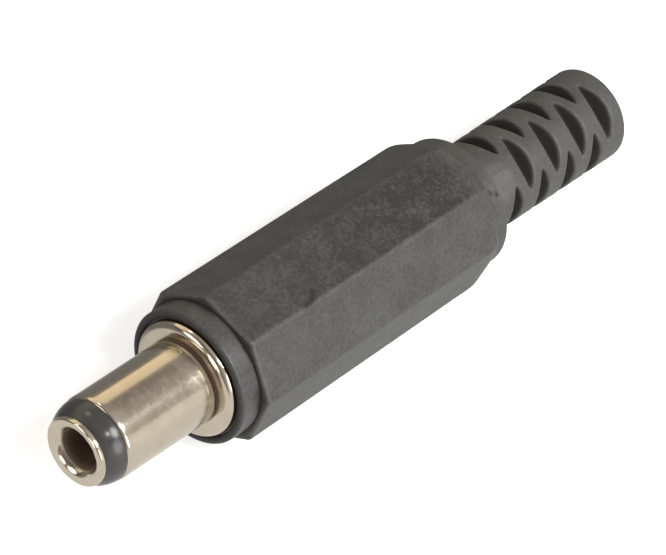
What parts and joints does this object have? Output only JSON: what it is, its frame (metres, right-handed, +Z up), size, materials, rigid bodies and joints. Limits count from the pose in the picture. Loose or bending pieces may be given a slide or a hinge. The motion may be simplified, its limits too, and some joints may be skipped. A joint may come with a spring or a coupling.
{
  "type": "dc power plug",
  "caption": "Cable-mount coaxial DC power plug with a nickel barrel, a screw-on octagonal shell, inner solder terminals and a slotted strain relief.",
  "frame": {"origin": "on the plug's axis, at the barrel's shoulder, where the front of the flange stops the socket", "axes": "+X along the plug's axis from the tip to the cable, +Z up, with a flat of the grip facing down to rest on"},
  "size_m": [0.0472, 0.0094, 0.0094],
  "materials": {
    "shell_plastic": "black moulded plastic with a fine grain",
    "nickel": "turned brass under warm nickel plating",
    "insulator_plastic": "smooth black moulded plastic",
    "terminal_metal": "stamped brass sheet under nickel plating"
  },
  "bodies": {
    "core": {"outer_sleeve": "nickel", "tip_insulator": "insulator_plastic", "centre_contact": "nickel", "rear_insulator": "insulator_plastic", "sleeve_lug": "terminal_metal", "centre_lug": "terminal_metal"},
    "shell": {"shell": "shell_plastic"}
  },
  "joints": [
    {"name": "shell_pull_off", "type": "slide", "parent": "core", "child": "shell", "axis": [1, 0, 0], "range_m": [0, 0.022]}
  ]
}
